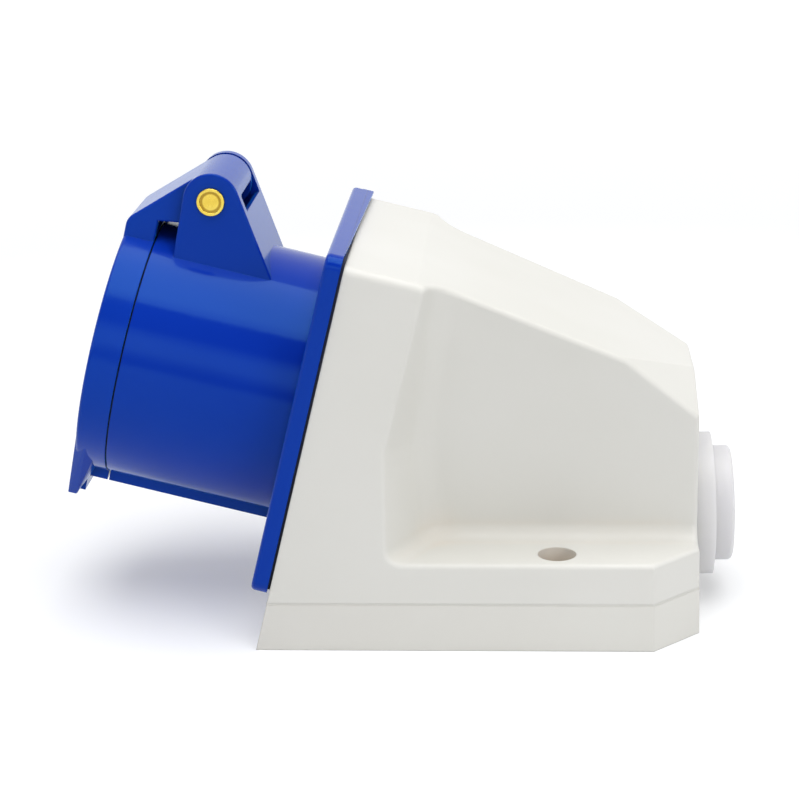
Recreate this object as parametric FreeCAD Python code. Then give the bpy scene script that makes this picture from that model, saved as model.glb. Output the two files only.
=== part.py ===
import FreeCAD, Part
import math
import os

V = FreeCAD.Vector
os.makedirs("parts", exist_ok=True)

# Industrial surface socket, 16 A three pole, with a sprung lid.
# Sizes are millimetres. X runs from the outlet side to the cable side,
# Y is across and Z is up from the wall face. While it is being built the
# front lower edge is at X zero, and every piece is moved at export so that
# the origin sits between the two wall holes.

# Clearances
fit_gap = 0.05
pin_fit = 0.02
pin_clear = 0.06
lid_gap = 0.3
seal_gap = 0.15
slide_gap = 0.3

# Enclosure
tilt = 14.2
box_width = 64.0
box_length = 83.5
side_draft = 0.4
rear_draft = 0.9
corner_cut = 9.0
base_height = 9.0
base_floor = 2.6
split_gap = 0.35
wall = 2.4
ear_height = 17.1
ear_wall = 3.0
hole_x = 56.5
hole_edge = 5.9
hole_r = 3.6
hole_column = 2.0
roof_x = 31.7
roof_slope = 23.4

# Side recesses above the ears
recess_clear = 2.6
recess_top_depth = 7.4
recess_top_drop = 13.9
ramp_side_x = 24.7
ramp_bend_drop = 37.4
ramp_run = 7.6
ramp_rise = 14.3

# Rear top facets
facet_length = 16.5
facet_roof_y = 8.0
facet_drop = 6.0

# Rounding of the housing
round_collar = 1.6
round_recess = 6.0
round_bend = 8.0
round_ear = 2.6
round_soft = 1.0
round_crisp = 0.8
soft_share = 0.083
crisp_share = 0.9

# Seal between base plate and housing
groove_edge = 0.8
groove_width = 0.9
groove_deep = 0.7

# Socket flange and shroud, measured along the socket's axis from the enclosure face
flange_lift = 1.65
collar_step = 1.5
gasket_thick = 0.5
gasket_inset = 0.7
flange_over = 0.2
flange_tall = 66.4
flange_rise = 1.15
flange_thick = 3.1
flange_corner = 2.6
flange_round = 0.8
shroud_r = 25.25
shroud_wall = 2.8
shroud_end = 36.4
floor_front = -2.0
floor_thick = 6.0
rib_half = 6.75
rib_height = 1.15
key_half = 3.2
key_depth = 1.6
flange_screw_edge = 5.5

# Hinge
pin_out = 27.45
pin_rise = 8.9
hinge_half = 12.15
ear_thick = 2.45
ear_round = 5.3
ear_front = 32.2
ear_foot = 13.2
ear_edge = 0.4
web_thick = 1.0
web_drop = 0.7
pin_r = 1.75
pin_head_r = 2.6
pin_head = 0.6
pin_dish = 0.3
pin_rim = 0.6
pin_edge = 0.15

# Lid
lid_thick = 5.85
lid_plate = 2.4
lid_wall = 3.25
lid_round = 0.7
arm_wall = 2.2
arm_plate = 1.2
arm_round = 5.15
arm_rise = 2.3
arm_front_rise = 1.45
arm_corner = 3.0
arm_edge = 0.4
arm_wrap = 162.0
tab_reach = 5.35
tab_back = 2.0
tab_lip = 0.6
tab_front = 1.0
tab_step = 1.0
seal_wall = 0.85
seal_width = 1.5
seal_depth = 1.6
catch_half = 3.0
catch_top = 2.0
catch_tall = 1.6
catch_lean = 2.2
catch_back = 0.4

# Contacts and their carrier
carrier_r = 18.45
carrier_inset = 2.8
carrier_rim = 3.0
carrier_screw_bite = 4.4
carrier_face = 1.2
entry_gap = 0.35
contact_circle_r = 8.75
pole_bore_r = 2.53
pole_sleeve_r = 4.0
earth_bore_r = 3.53
earth_sleeve_r = 5.0
bed_gap = 0.75
sleeve_depth = 36.0
sleeve_tail = 11.0
sleeve_collar = 4.0
ring_setback = 2.4
ring_width = 2.2
ring_thick = 0.6
terminal_setback = 5.0
terminal_r = 1.6
terminal_head_r = 2.4
terminal_head = 1.6
terminal_stand = 1.2
wire_r = 2.0
wire_deep = 9.0

# Screws and bosses
screw_r = 1.5
screw_head_r = 2.9
screw_head = 1.5
screw_slot = 0.8
slot_deep = 1.0
tip_gap = 0.6
flange_screw_long = 11.0
base_screw_long = 13.0
base_screw_front = 8.8
base_screw_rear = 6.5
base_screw_y = 18.0
boss_r = 3.8
boss_end = 2.5

# Cable grommet
grommet_z = 18.0
grommet_rim_r = 14.0
grommet_rim = 3.8
grommet_cap_r = 11.3
grommet_cap = 3.85
grommet_round = 0.9
grommet_neck_r = 9.6
grommet_lip_r = 12.0
grommet_lip = 2.0
grommet_film = 1.0
grommet_wall = 4.0

# Lid spring
wire = 0.4
coil_gap = 0.2
coil_turns = 7
coil_half = 5.2
arm_leg_long = 9.0
foot_leg_angle = 304.0
foot_leg_long = 3.6
leg_bend = 0.9

cos_t = math.cos(math.radians(tilt))
sin_t = math.sin(math.radians(tilt))
out_dir = V(-cos_t, 0, sin_t)
in_dir = out_dir * -1.0
up_dir = V(sin_t, 0, cos_t)
across = V(0, 1, 0)
upright = V(0, 0, 1)
flange_foot = base_height + split_gap + flange_lift
axis_height = flange_foot + flange_tall / 2 - flange_rise
collar_top = flange_foot + flange_tall - collar_step
axis_foot = up_dir * axis_height
half = box_width / 2.0
far_off = 4 * box_length
SIDES = (("near", -1), ("far", 1))


def slope(deg):
    return math.tan(math.radians(deg))


def rod(point, direction, radius, length):
    return Part.makeCylinder(radius, length, point, direction)


def plane(point, normal):
    """A plane given by a point and the unit vector that points away from the material."""
    facing = V(normal)
    facing.normalize()
    return (point, facing)


def shave(solid, point, normal):
    """Remove everything on the side of the plane that the normal points to."""
    block = Part.makeBox(far_off, far_off, far_off, V(-far_off / 2, -far_off / 2, 0))
    block.Placement = FreeCAD.Placement(point, FreeCAD.Rotation(upright, normal))
    return solid.cut(block)


def sock(out, y, up):
    """Point given by its distance out along the socket's axis, across, and up from the axis."""
    return axis_foot + out_dir * out + across * y + up_dir * up


def turned(out_from, out_to, radius, y=0.0, up=0.0):
    """Round bar on or beside the socket's axis between two distances out."""
    return rod(sock(out_from, y, up), out_dir, radius, out_to - out_from)


def slab(points, width, centre_y=0.0):
    """Extrude a closed outline of out and up pairs across the socket."""
    wire_line = Part.makePolygon([sock(o, centre_y - width / 2, u) for o, u in points + points[:1]])
    return Part.Face(wire_line).extrude(across * width)


def crossbar(out, up, radius, width, centre_y=0.0):
    """Round bar that lies across the socket."""
    return rod(sock(out, centre_y - width / 2, up), across, radius, width)


def tangent(point, centre, radius, side):
    """Where the line from a point touches a circle, on the chosen side."""
    dx = centre[0] - point[0]
    dy = centre[1] - point[1]
    gap = math.hypot(dx, dy)
    reach = math.sqrt(gap * gap - radius * radius)
    turn = math.atan2(dy, dx) + side * math.asin(radius / gap)
    return (point[0] + reach * math.cos(turn), point[1] + reach * math.sin(turn))


def spots_on(edge):
    first, last = edge.ParameterRange
    return [edge.valueAt(first), edge.valueAt((first + last) / 2), edge.valueAt(last)]


def height(spot):
    """How far a point lies above the socket's axis."""
    return (spot - axis_foot).dot(up_dir)


def soften(solid, y, radius, floor):
    """Round the outline of a flat side at a distance across, but not what lies below the floor."""
    rim = []
    for edge in solid.Edges:
        spots = spots_on(edge)
        if all(abs(spot.y - y) < 1e-6 for spot in spots) and max(height(spot) for spot in spots) > floor:
            rim.append(edge)
    return solid.makeFillet(radius, rim)


def on_plane(edge, where):
    point, normal = where
    return all(abs((spot - point).dot(normal)) < 1e-4 for spot in spots_on(edge))


# The planes of the enclosure, each with the normal pointing outwards.
roof_z = (collar_top - roof_x * sin_t) / cos_t
fall = slope(roof_slope)
lean_side = slope(side_draft)
lean_rear = slope(rear_draft)
rear_top_z = (roof_z - (box_length - roof_x) * fall) / (1 - lean_rear * fall)
rear_top_x = box_length - lean_rear * rear_top_z
facet_x = box_length - facet_length
facet_z = roof_z - (facet_x - roof_x) * fall
recess_top_z = collar_top - recess_top_drop
ramp_bend_z = collar_top - ramp_bend_drop
foot_y = grommet_lip_r + wall + recess_clear
recess_lean = (half - recess_top_depth - foot_y) / (recess_top_z - ear_height)
facet_low_z = rear_top_z - facet_drop
facet_low_y = foot_y + recess_lean * (facet_low_z - ear_height)
facet_y = foot_y + recess_lean * (recess_top_z - ear_height)

outer = {
    "front": plane(V(0, 0, 0), out_dir),
    "collar": plane(up_dir * collar_top, up_dir),
    "roof": plane(V(roof_x, 0, roof_z), V(fall, 0, 1)),
    "rear": plane(V(box_length, 0, 0), V(1, 0, lean_rear)),
}
recess = {}
for name, s in SIDES:
    outer["side " + name] = plane(V(0, s * half, 0), V(0, s, lean_side))
    outer["cut " + name] = plane(V(box_length - corner_cut, s * half, 0), V(1, s, lean_side + lean_rear))
    high = V(facet_x, s * facet_y, facet_z)
    inner = V(rear_top_x, s * facet_roof_y, rear_top_z)
    low = V(rear_top_x, s * facet_low_y, facet_low_z)
    outer["facet " + name] = plane(high, (inner - high).cross(low - high) * s)
    # Each plane of a side recess has its normal pointing into the recess.
    bend = V(ramp_side_x, s * half, ramp_bend_z)
    run = V(ramp_run, -s * ramp_rise, 0)
    recess[name] = {
        "wall " + name: plane(V(0, s * foot_y, ear_height), V(0, s, -recess_lean)),
        "ramp " + name: plane(bend, V(ramp_rise, s * ramp_run, 0)),
        "slant " + name: plane(bend, run.cross(V(sin_t, 0, cos_t)) * -s),
        "ear " + name: plane(V(0, 0, ear_height), upright),
    }
all_planes = dict(outer)
for name in recess:
    all_planes.update(recess[name])


def form(inset, low, high=far_off, only=None):
    """Outer shape of the enclosure between two levels, moved inwards by an inset."""
    shape = Part.makeBox(far_off, far_off, high - low, V(-far_off / 4, -far_off / 2, low))
    for key, (point, normal) in outer.items():
        if only is None or key.split()[0] in only:
            shape = shave(shape, point - normal * inset, normal)
    return shape


def recess_block(side, s, inset, floor_inset):
    """Space of one side recess, grown towards the inside by an inset."""
    block = Part.makeBox(far_off, far_off, far_off, V(-far_off / 2, min(0, s * far_off), 0))
    for key, (point, normal) in recess[side].items():
        step = floor_inset if key.startswith("ear") else inset
        block = shave(block, point - normal * step, normal * -1.0)
    return block


def edges_of(solid, *pairs):
    """Edges that lie on both planes of a pair; a star stands for the near and the far side."""
    found = []
    for a, b in pairs:
        for side, s in SIDES:
            first = all_planes[a.replace("*", side)]
            second = all_planes[b.replace("*", side)]
            for edge in solid.Edges:
                known = any(edge.isSame(other) for other in found)
                if not known and on_plane(edge, first) and on_plane(edge, second):
                    found.append(edge)
    return found


def slot(point, inward, along, long):
    """Narrow driver slot, sunk into a screw head at a point."""
    block = Part.makeBox(long, screw_slot, slot_deep)
    block.translate(V(-long / 2, -screw_slot / 2, 0))
    turn = FreeCAD.Rotation(along, inward.cross(along), inward, "XYZ")
    block.Placement = FreeCAD.Placement(point, turn).multiply(block.Placement)
    return block


def screw(point, inward, long):
    """Flush cross headed screw; the point is the middle of its head."""
    shape = rod(point, inward, screw_r, long)
    shape = shape.fuse(Part.makeCone(screw_head_r, screw_r, screw_head, point, inward))
    for along in (across, across.cross(inward)):
        shape = shape.cut(slot(point, inward, along, 1.2 * screw_head_r))
    return shape


def screw_room(point, inward, long):
    """Room for a flush screw, with the head's seat."""
    head = Part.makeCone(screw_head_r + fit_gap, screw_r + fit_gap, screw_head + fit_gap, point, inward)
    return rod(point, inward, screw_r + fit_gap, long + tip_gap).fuse(head)


# Places of the screws
hole_spots = [V(hole_x, s * (half - hole_edge), 0) for side, s in SIDES]
base_spots = []
for x in (base_screw_front, box_length - base_screw_rear):
    for side, s in SIDES:
        base_spots.append(V(x, s * base_screw_y, 0))
flange_front = gasket_thick + flange_thick
flange_half = half + flange_over
flange_screw_half = flange_half - flange_screw_edge
flange_spots = []
for up_side in (-1, 1):
    up = flange_rise + up_side * (flange_tall / 2 - flange_screw_edge)
    for side, s in SIDES:
        flange_spots.append(sock(flange_front, s * flange_screw_half, up))

# Housing: outer shape, side recesses, rounding
split_z = base_height + split_gap
housing = form(0, split_z)
housing = housing.makeFillet(round_collar, edges_of(housing, ("collar", "side *"), ("roof", "side *")))
for side, s in SIDES:
    housing = housing.cut(recess_block(side, s, 0, 0))
housing = housing.makeFillet(round_recess, edges_of(housing, ("wall *", "ramp *"), ("wall *", "slant *")))
housing = housing.makeFillet(round_bend, edges_of(housing, ("ramp *", "slant *")))
housing = housing.makeFillet(round_ear, edges_of(housing, ("ear *", "wall *"), ("ear *", "ramp *")))
soft = min(round_soft, soft_share * (half - foot_y))
crisp = min(round_crisp, crisp_share * soft)
soft_edges = edges_of(
    housing,
    ("roof", "wall *"),
    ("facet *", "wall *"),
    ("facet *", "roof"),
    ("facet *", "rear"),
    ("wall *", "rear"),
    ("side *", "ramp *"),
    ("side *", "slant *"),
)
housing = housing.makeFillet(soft, soft_edges)
crisp_edges = edges_of(
    housing,
    ("side *", "cut *"),
    ("cut *", "rear"),
    ("ear *", "side *"),
    ("ear *", "cut *"),
    ("ear *", "rear"),
)
housing = housing.makeFillet(crisp, crisp_edges)
housing = housing.makeFillet(soft, edges_of(housing, ("roof", "rear")))

# Housing: hollow, with the ears' columns and the screw bosses left standing
hollow = form(wall, split_z - 1)
for side, s in SIDES:
    hollow = hollow.cut(recess_block(side, s, wall, ear_wall))
for spot in hole_spots:
    hollow = hollow.cut(rod(spot, upright, hole_r + hole_column, ear_height))
for spot in base_spots:
    hollow = hollow.cut(rod(spot, upright, boss_r, base_screw_long + tip_gap + boss_end))
for spot in flange_spots:
    hollow = hollow.cut(rod(spot, in_dir, boss_r, flange_screw_long + boss_end))
housing = housing.cut(hollow)
housing = housing.cut(turned(-wall - 1, gasket_thick, shroud_r + slide_gap))
for spot in hole_spots:
    housing = housing.cut(rod(spot, upright, hole_r, ear_height + 1))
for spot in base_spots:
    housing = housing.cut(rod(spot, upright, screw_r + fit_gap, base_screw_long + tip_gap))
for spot in flange_spots:
    housing = housing.cut(rod(spot, in_dir, screw_r + fit_gap, flange_screw_long + tip_gap))

# Base plate: shallow tray with the same outline
outline = ("front", "rear", "side", "cut")
base = form(0, 0, base_height, outline)
tray = form(wall, base_floor, base_height + 1, outline)
for spot in hole_spots:
    tray = tray.cut(rod(spot, upright, hole_r + hole_column, ear_height))
for spot in base_spots:
    tray = tray.cut(rod(spot, upright, boss_r, ear_height))
base = base.cut(tray)
for spot in hole_spots:
    base = base.cut(rod(spot, upright, hole_r, ear_height))
for spot in base_spots:
    base = base.cut(screw_room(spot, upright, base_screw_long))

# Seal in the groove between base plate and housing
groove_low = base_height - groove_deep
groove_high = split_z + groove_deep
groove_inner = groove_edge + groove_width
groove = form(groove_edge, groove_low, groove_high, outline)
groove = groove.cut(form(groove_inner, 0, far_off, outline))
base_seal = form(groove_edge + fit_gap, groove_low + fit_gap, groove_high - fit_gap, outline)
base_seal = base_seal.cut(form(groove_inner - fit_gap, 0, far_off, outline))
housing = housing.cut(groove)
base = base.cut(groove)

# Cable grommet, in a round opening that housing and base plate share
rear_normal = outer["rear"][1]
grommet_foot = V(box_length - lean_rear * grommet_z, 0, grommet_z)


def grommet_bar(start, end, radius):
    """Round bar on the grommet's axis, measured outwards from the rear face."""
    return rod(grommet_foot + rear_normal * start, rear_normal, radius, end - start)


rear_hole = grommet_bar(-wall - groove_inner - 1, 1, grommet_neck_r + fit_gap)
housing = housing.cut(rear_hole)
base = base.cut(rear_hole)
base_seal = base_seal.cut(rear_hole)
rim_top = fit_gap + grommet_rim
cap_top = rim_top + grommet_cap
lip_top = -wall - fit_gap
grommet = grommet_bar(lip_top - grommet_lip, lip_top, grommet_lip_r)
grommet = grommet.fuse(grommet_bar(lip_top - grommet_lip, rim_top, grommet_neck_r))
grommet = grommet.fuse(grommet_bar(fit_gap, rim_top, grommet_rim_r))
cap = grommet_bar(rim_top, cap_top, grommet_cap_r)
cap_end = plane(grommet_foot + rear_normal * cap_top, rear_normal)
cap = cap.makeFillet(grommet_round, [e for e in cap.Edges if on_plane(e, cap_end)])
grommet = grommet.fuse(cap)
throat_r = grommet_cap_r - grommet_wall
grommet = grommet.cut(grommet_bar(lip_top - grommet_lip, cap_top - grommet_film, throat_r))
grommet = grommet.removeSplitter()


def face_plate(out_from, out_to, inset, corner):
    """Rounded plate on the enclosure's face between two distances out."""
    tall = flange_tall / 2 - inset
    low = flange_rise - tall
    high = flange_rise + tall
    corners = [(out_from, low), (out_to, low), (out_to, high), (out_from, high)]
    block = slab(corners, 2 * (flange_half - inset))
    long_edges = []
    for edge in block.Edges:
        spots = spots_on(edge)
        if abs(abs((spots[2] - spots[0]).dot(out_dir)) - (out_to - out_from)) < 1e-6:
            long_edges.append(edge)
    return block.makeFillet(corner, long_edges)


# Flange gasket
gasket = face_plate(0, gasket_thick, gasket_inset, flange_corner - gasket_inset)
gasket = gasket.cut(turned(-1, gasket_thick + 1, shroud_r + slide_gap))
for spot in flange_spots:
    gasket = gasket.cut(rod(spot, in_dir, screw_r + fit_gap, flange_screw_long))

# Socket body: flange, shroud and key rib
shroud_bore_r = shroud_r - shroud_wall
floor_back = floor_front - floor_thick
rib_low = -shroud_r - rib_height
body = face_plate(gasket_thick, flange_front, 0, flange_corner)
flange_face = plane(sock(flange_front, 0, 0), out_dir)
body = body.makeFillet(flange_round, [e for e in body.Edges if on_plane(e, flange_face)])
body = body.fuse(turned(floor_back, shroud_end, shroud_r))
rib = [
    (gasket_thick, rib_low),
    (shroud_end, rib_low),
    (shroud_end, -shroud_bore_r),
    (gasket_thick, -shroud_bore_r),
]
body = body.fuse(slab(rib, 2 * rib_half))

# Socket body: hinge ears and the web behind them
pin_up = shroud_r + pin_rise
pin_spot = (pin_out, pin_up)
ear_up = math.sqrt(shroud_r * shroud_r - hinge_half * hinge_half)
root_up = ear_up - shroud_wall / 2
rear_touch = tangent((ear_foot, ear_up), pin_spot, ear_round, 1)
front_touch = tangent((ear_front, root_up), pin_spot, ear_round, -1)
ear_line = [
    (ear_front, root_up),
    front_touch,
    pin_spot,
    rear_touch,
    (ear_foot, ear_up),
    (ear_foot, root_up),
]
for side, s in SIDES:
    middle = s * (hinge_half - ear_thick / 2)
    ear = slab(ear_line, ear_thick, middle)
    ear = ear.fuse(crossbar(pin_out, pin_up, ear_round, ear_thick, middle)).removeSplitter()
    body = body.fuse(soften(ear, s * hinge_half, ear_edge, ear_up - shroud_wall / 4))
lean_out = rear_touch[0] - ear_foot
lean_up = rear_touch[1] - ear_up
lean_long = math.hypot(lean_out, lean_up)
step_out = lean_up / lean_long * web_thick
step_up = -lean_out / lean_long * web_thick
web_up = pin_up - web_drop
web_out = ear_foot + lean_out * (web_up - ear_up) / lean_up
web = [
    (ear_foot, ear_up),
    (web_out, web_up),
    (web_out + step_out, web_up + step_up),
    (ear_foot + step_out, ear_up + step_up),
]
body = body.fuse(slab(web, 2 * hinge_half - ear_thick))

# Socket body: bore, keyway, floor and screw holes
body = body.cut(turned(floor_front, shroud_end + 1, shroud_bore_r))
body = body.cut(turned(floor_back - 1, shroud_end, carrier_r + fit_gap))
key_low = -shroud_bore_r - key_depth
keyway = [
    (floor_front, key_low),
    (shroud_end + 1, key_low),
    (shroud_end + 1, -carrier_r - fit_gap),
    (floor_front, -carrier_r - fit_gap),
]
body = body.cut(slab(keyway, 2 * key_half))
body = body.cut(crossbar(pin_out, pin_up, pin_r + pin_fit, 3 * hinge_half))
for spot in flange_spots:
    body = body.cut(screw_room(spot, in_dir, flange_screw_long))
carrier_back = floor_back - fit_gap - carrier_rim
carrier_screw_long = carrier_rim + fit_gap + carrier_screw_bite
carrier_screw_y = (carrier_r + shroud_r) / 2
carrier_spots = [sock(carrier_back, s * carrier_screw_y, 0) for side, s in SIDES]
for spot in carrier_spots:
    body = body.cut(rod(spot, out_dir, screw_r + fit_gap, carrier_screw_long + tip_gap))
body = body.removeSplitter()

# Hinge pin with a dished head at each end
pin_half = hinge_half + pin_head
pin = crossbar(pin_out, pin_up, pin_r, 2 * pin_half)
for side, s in SIDES:
    pin = pin.fuse(crossbar(pin_out, pin_up, pin_head_r, pin_head, s * (hinge_half + pin_head / 2)))
    pin = pin.cut(crossbar(pin_out, pin_up, pin_head_r - pin_rim, 2 * pin_dish, s * pin_half))
    pin = soften(pin.removeSplitter(), s * pin_half, pin_edge, pin_up)

# Lid: cap with its rib and lift tab
lid_back = shroud_end + lid_gap
lid_face = lid_back + lid_thick
lid_bore_r = shroud_r - lid_wall
lid = turned(lid_back, lid_face, shroud_r)
lid_front = plane(sock(lid_face, 0, 0), out_dir)
lid = lid.makeFillet(lid_round, [e for e in lid.Edges if on_plane(e, lid_front)])
lid_rib = [
    (lid_back, rib_low),
    (lid_face - lid_round, rib_low),
    (lid_face - lid_round, -lid_bore_r),
    (lid_back, -lid_bore_r),
]
lid = lid.fuse(slab(lid_rib, 2 * rib_half))
tab_low = -shroud_r - tab_reach
tab = [
    (lid_face - tab_back, -lid_bore_r),
    (lid_face - tab_back, tab_low + tab_step),
    (lid_face - tab_lip, tab_low + tab_step),
    (lid_face - tab_lip, tab_low),
    (lid_face + tab_front, tab_low),
    (lid_face + tab_front, rib_low + tab_front),
    (lid_face - lid_round, -lid_bore_r),
]
lid = lid.fuse(slab(tab, 2 * rib_half))

# Lid: arm up to the pin, a channel with two knuckles
arm_half = hinge_half - ear_thick - slide_gap
channel_half = arm_half - arm_wall
arm_start = (lid_face, shroud_r + arm_front_rise)
arm_touch = tangent(arm_start, pin_spot, arm_round, -1)
arm_end = (lid_back, shroud_r + arm_rise)
arm_line = [
    (lid_face, lid_bore_r - lid_plate),
    arm_start,
    arm_touch,
    pin_spot,
    tangent(arm_end, pin_spot, arm_round, 1),
    arm_end,
    (lid_back, lid_bore_r - lid_plate),
]
arm = slab(arm_line, 2 * arm_half).fuse(crossbar(pin_out, pin_up, arm_round, 2 * arm_half))
arm = arm.removeSplitter()
start_line = sock(arm_start[0], 0, arm_start[1])
corner = [e for e in arm.Edges if all((spot - start_line).cross(across).Length < 1e-6 for spot in spots_on(e))]
arm = arm.makeFillet(arm_corner, corner)
for side, s in SIDES:
    arm = soften(arm, s * arm_half, arm_edge, arm_end[1])
knuckle_in = arm_round - arm_plate
share = knuckle_in / arm_round
inner_touch = (pin_out + (arm_touch[0] - pin_out) * share, pin_up + (arm_touch[1] - pin_up) * share)
arm_fall = (arm_start[1] - arm_touch[1]) / (arm_start[0] - arm_touch[0])
inner_end = lid_face - arm_wall
inner_start = (inner_end, inner_touch[1] + (inner_end - inner_touch[0]) * arm_fall)
wrap = math.radians(arm_wrap)
reach = lid_face - ear_foot
channel = [
    pin_spot,
    inner_touch,
    inner_start,
    (inner_end, lid_bore_r),
    (ear_foot, lid_bore_r),
    (pin_out + reach * math.cos(wrap), pin_up + reach * math.sin(wrap)),
]
arm = arm.cut(slab(channel, 2 * channel_half))
arm = arm.cut(crossbar(pin_out, pin_up, knuckle_in, 2 * channel_half))
lid = lid.fuse(arm)

# Lid: hollow, seal groove, pin bore and the catch that holds a plug
lid_floor = lid_face - lid_plate
seal_out_r = shroud_r - seal_wall
seal_in_r = seal_out_r - seal_width
lid = lid.cut(turned(ear_foot, lid_floor, lid_bore_r))
seal_room = turned(ear_foot, lid_back + seal_depth, seal_out_r).cut(turned(0, lid_floor, seal_in_r))
lid = lid.cut(seal_room)
lid = lid.cut(crossbar(pin_out, pin_up, pin_r + pin_clear, 3 * hinge_half))
catch_up = lid_bore_r - catch_top
catch = [
    (lid_floor, catch_up - catch_tall - catch_lean),
    (lid_back + catch_back, catch_up - catch_tall),
    (lid_back + catch_back, catch_up),
    (lid_floor, catch_up),
]
lid = lid.fuse(slab(catch, 2 * catch_half))
lid = lid.removeSplitter()
lid_seal = turned(shroud_end + seal_gap, lid_back + seal_depth - fit_gap, seal_out_r - fit_gap)
lid_seal = lid_seal.cut(turned(shroud_end, lid_face, seal_in_r + fit_gap))

# Contact carrier, and the plate that is screwed on behind it
carrier_end = shroud_end - carrier_inset
sleeve_front = carrier_end - carrier_face
sleeve_back = carrier_back - sleeve_tail
carrier = turned(carrier_back + carrier_rim, carrier_end, carrier_r)
carrier_plate = turned(carrier_back, carrier_back + carrier_rim, shroud_r - fit_gap)
for spot in carrier_spots:
    carrier_plate = carrier_plate.cut(screw_room(spot, out_dir, carrier_screw_long))


def contact(y, up, bore_r, sleeve_r):
    """One contact's sleeve, spring ring and terminal screw, and its room in the carrier."""
    bed_r = sleeve_r + bed_gap
    room = turned(carrier_back - 1, sleeve_front + fit_gap, bed_r, y, up)
    room = room.fuse(turned(0, carrier_end + 1, bore_r + entry_gap, y, up))
    sleeve = turned(sleeve_back, sleeve_front, sleeve_r, y, up)
    sleeve = sleeve.fuse(turned(sleeve_back, carrier_back + sleeve_collar, bed_r - fit_gap, y, up))
    sleeve = sleeve.cut(turned(sleeve_front - sleeve_depth, sleeve_front + 1, bore_r, y, up))
    sleeve = sleeve.cut(turned(sleeve_back - 1, sleeve_back + wire_deep, wire_r, y, up))
    ring_end = sleeve_front - ring_setback
    ring = turned(ring_end - ring_width, ring_end, sleeve_r + ring_thick, y, up)
    ring = ring.cut(turned(0, sleeve_front, sleeve_r + pin_fit, y, up))
    radial = (across * y + up_dir * up) * (1.0 / contact_circle_r)
    inward = radial * -1.0
    seat = sock(sleeve_back + terminal_setback, y, up) + radial * (bed_r + terminal_stand)
    sleeve = sleeve.cut(rod(seat, inward, terminal_r + fit_gap, bed_r + terminal_stand))
    bolt = rod(seat, inward, terminal_r, bed_r + terminal_stand - wire_r)
    crown = seat + radial * terminal_head
    bolt = bolt.fuse(rod(crown, inward, terminal_head_r, terminal_head))
    bolt = bolt.cut(slot(crown, inward, out_dir, 2.2 * terminal_head_r))
    return sleeve.removeSplitter(), ring, bolt, room


swing = math.radians(120)
side_y = contact_circle_r * math.sin(swing)
side_up = -contact_circle_r * math.cos(swing)
places = {
    "live_contact": (-side_y, side_up, pole_bore_r, pole_sleeve_r),
    "neutral_contact": (side_y, side_up, pole_bore_r, pole_sleeve_r),
    "earth_contact": (0.0, -contact_circle_r, earth_bore_r, earth_sleeve_r),
}
sleeves = {}
rings = {}
bolts = []
for name, place in places.items():
    sleeves[name], rings[name], bolt, room = contact(*place)
    bolts.append(bolt)
    carrier = carrier.cut(room)
    carrier_plate = carrier_plate.cut(room)

# Torsion spring around the pin: one leg lies under the arm, the other is bent down to the shroud
arm_angle = math.atan2(arm_touch[1] - pin_up, arm_touch[0] - pin_out)
spring_turns = coil_turns + (math.radians(foot_leg_angle) - arm_angle) / (2 * math.pi)
coil_r = knuckle_in - coil_gap - wire
pitch = 2 * coil_half / spring_turns
start_dir = out_dir * math.cos(arm_angle) + up_dir * math.sin(arm_angle)
start_along = across.cross(start_dir)
helix = Part.makeHelix(pitch, 2 * coil_half, coil_r).Edges[0]
ends = [(helix.valueAt(t), helix.tangentAt(t)) for t in helix.ParameterRange]
leg_tip = ends[0][0] - ends[0][1] * arm_leg_long
coil_turn = FreeCAD.Rotation(start_dir, start_along, across, "XYZ")
down = coil_turn.inverted().multVec(up_dir * -1.0)
leaving = ends[1][1]
leg_corner = ends[1][0] + leaving * foot_leg_long
half_bend = leaving.getAngle(down) / 2
bend_start = leg_corner - leaving * leg_bend * math.tan(half_bend)
bend_end = leg_corner + down * leg_bend * math.tan(half_bend)
bend_side = down - leaving
bend_side.normalize()
bend_middle = leg_corner + bend_side * leg_bend * (1 / math.cos(half_bend) - 1)
path = Part.Wire([
    Part.makeLine(leg_tip, ends[0][0]),
    helix,
    Part.makeLine(ends[1][0], bend_start),
    Part.Arc(bend_start, bend_middle, bend_end).toShape(),
    Part.makeLine(bend_end, bend_end + down * pin_up),
])
section = Part.Wire(Part.makeCircle(wire, leg_tip, ends[0][1]))
spring = path.makePipeShell([section], True, False)
spring.Placement = FreeCAD.Placement(sock(pin_out, -coil_half, pin_up), coil_turn)
spring = spring.cut(turned(0, shroud_end, shroud_r + fit_gap))

nodes = {
    "housing": housing,
    "base_plate": base,
    "base_seal": base_seal,
    "cable_grommet": grommet,
    "flange_gasket": gasket,
    "socket_body": body,
    "hinge_pin": pin,
    "hinge_spring": spring,
    "lid": lid,
    "lid_seal": lid_seal,
    "contact_carrier": carrier,
    "carrier_plate": carrier_plate,
    "live_contact": sleeves["live_contact"],
    "neutral_contact": sleeves["neutral_contact"],
    "earth_contact": sleeves["earth_contact"],
    "pole_rings": Part.makeCompound([rings["live_contact"], rings["neutral_contact"]]),
    "earth_ring": rings["earth_contact"],
    "terminal_screws": Part.makeCompound(bolts),
    "flange_screws": Part.makeCompound([screw(p, in_dir, flange_screw_long) for p in flange_spots]),
    "housing_screws": Part.makeCompound([screw(p, upright, base_screw_long) for p in base_spots]),
    "carrier_screws": Part.makeCompound([screw(p, out_dir, carrier_screw_long) for p in carrier_spots]),
}
for name, shape in nodes.items():
    placed = shape.copy()
    placed.translate(V(-hole_x, 0, 0))
    placed.exportStep("parts/" + name + ".step")
    solids = placed.Solids
    print(name, len(solids), round(placed.Volume, 1), all(solid.isValid() for solid in solids))
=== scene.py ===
"""Looks, studio and camera for a tilted industrial surface socket."""

import logging
import math
from dataclasses import dataclass
from enum import Enum
from typing import Any, Iterable

import bmesh
import bpy
from mathutils import Matrix, Vector


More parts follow.
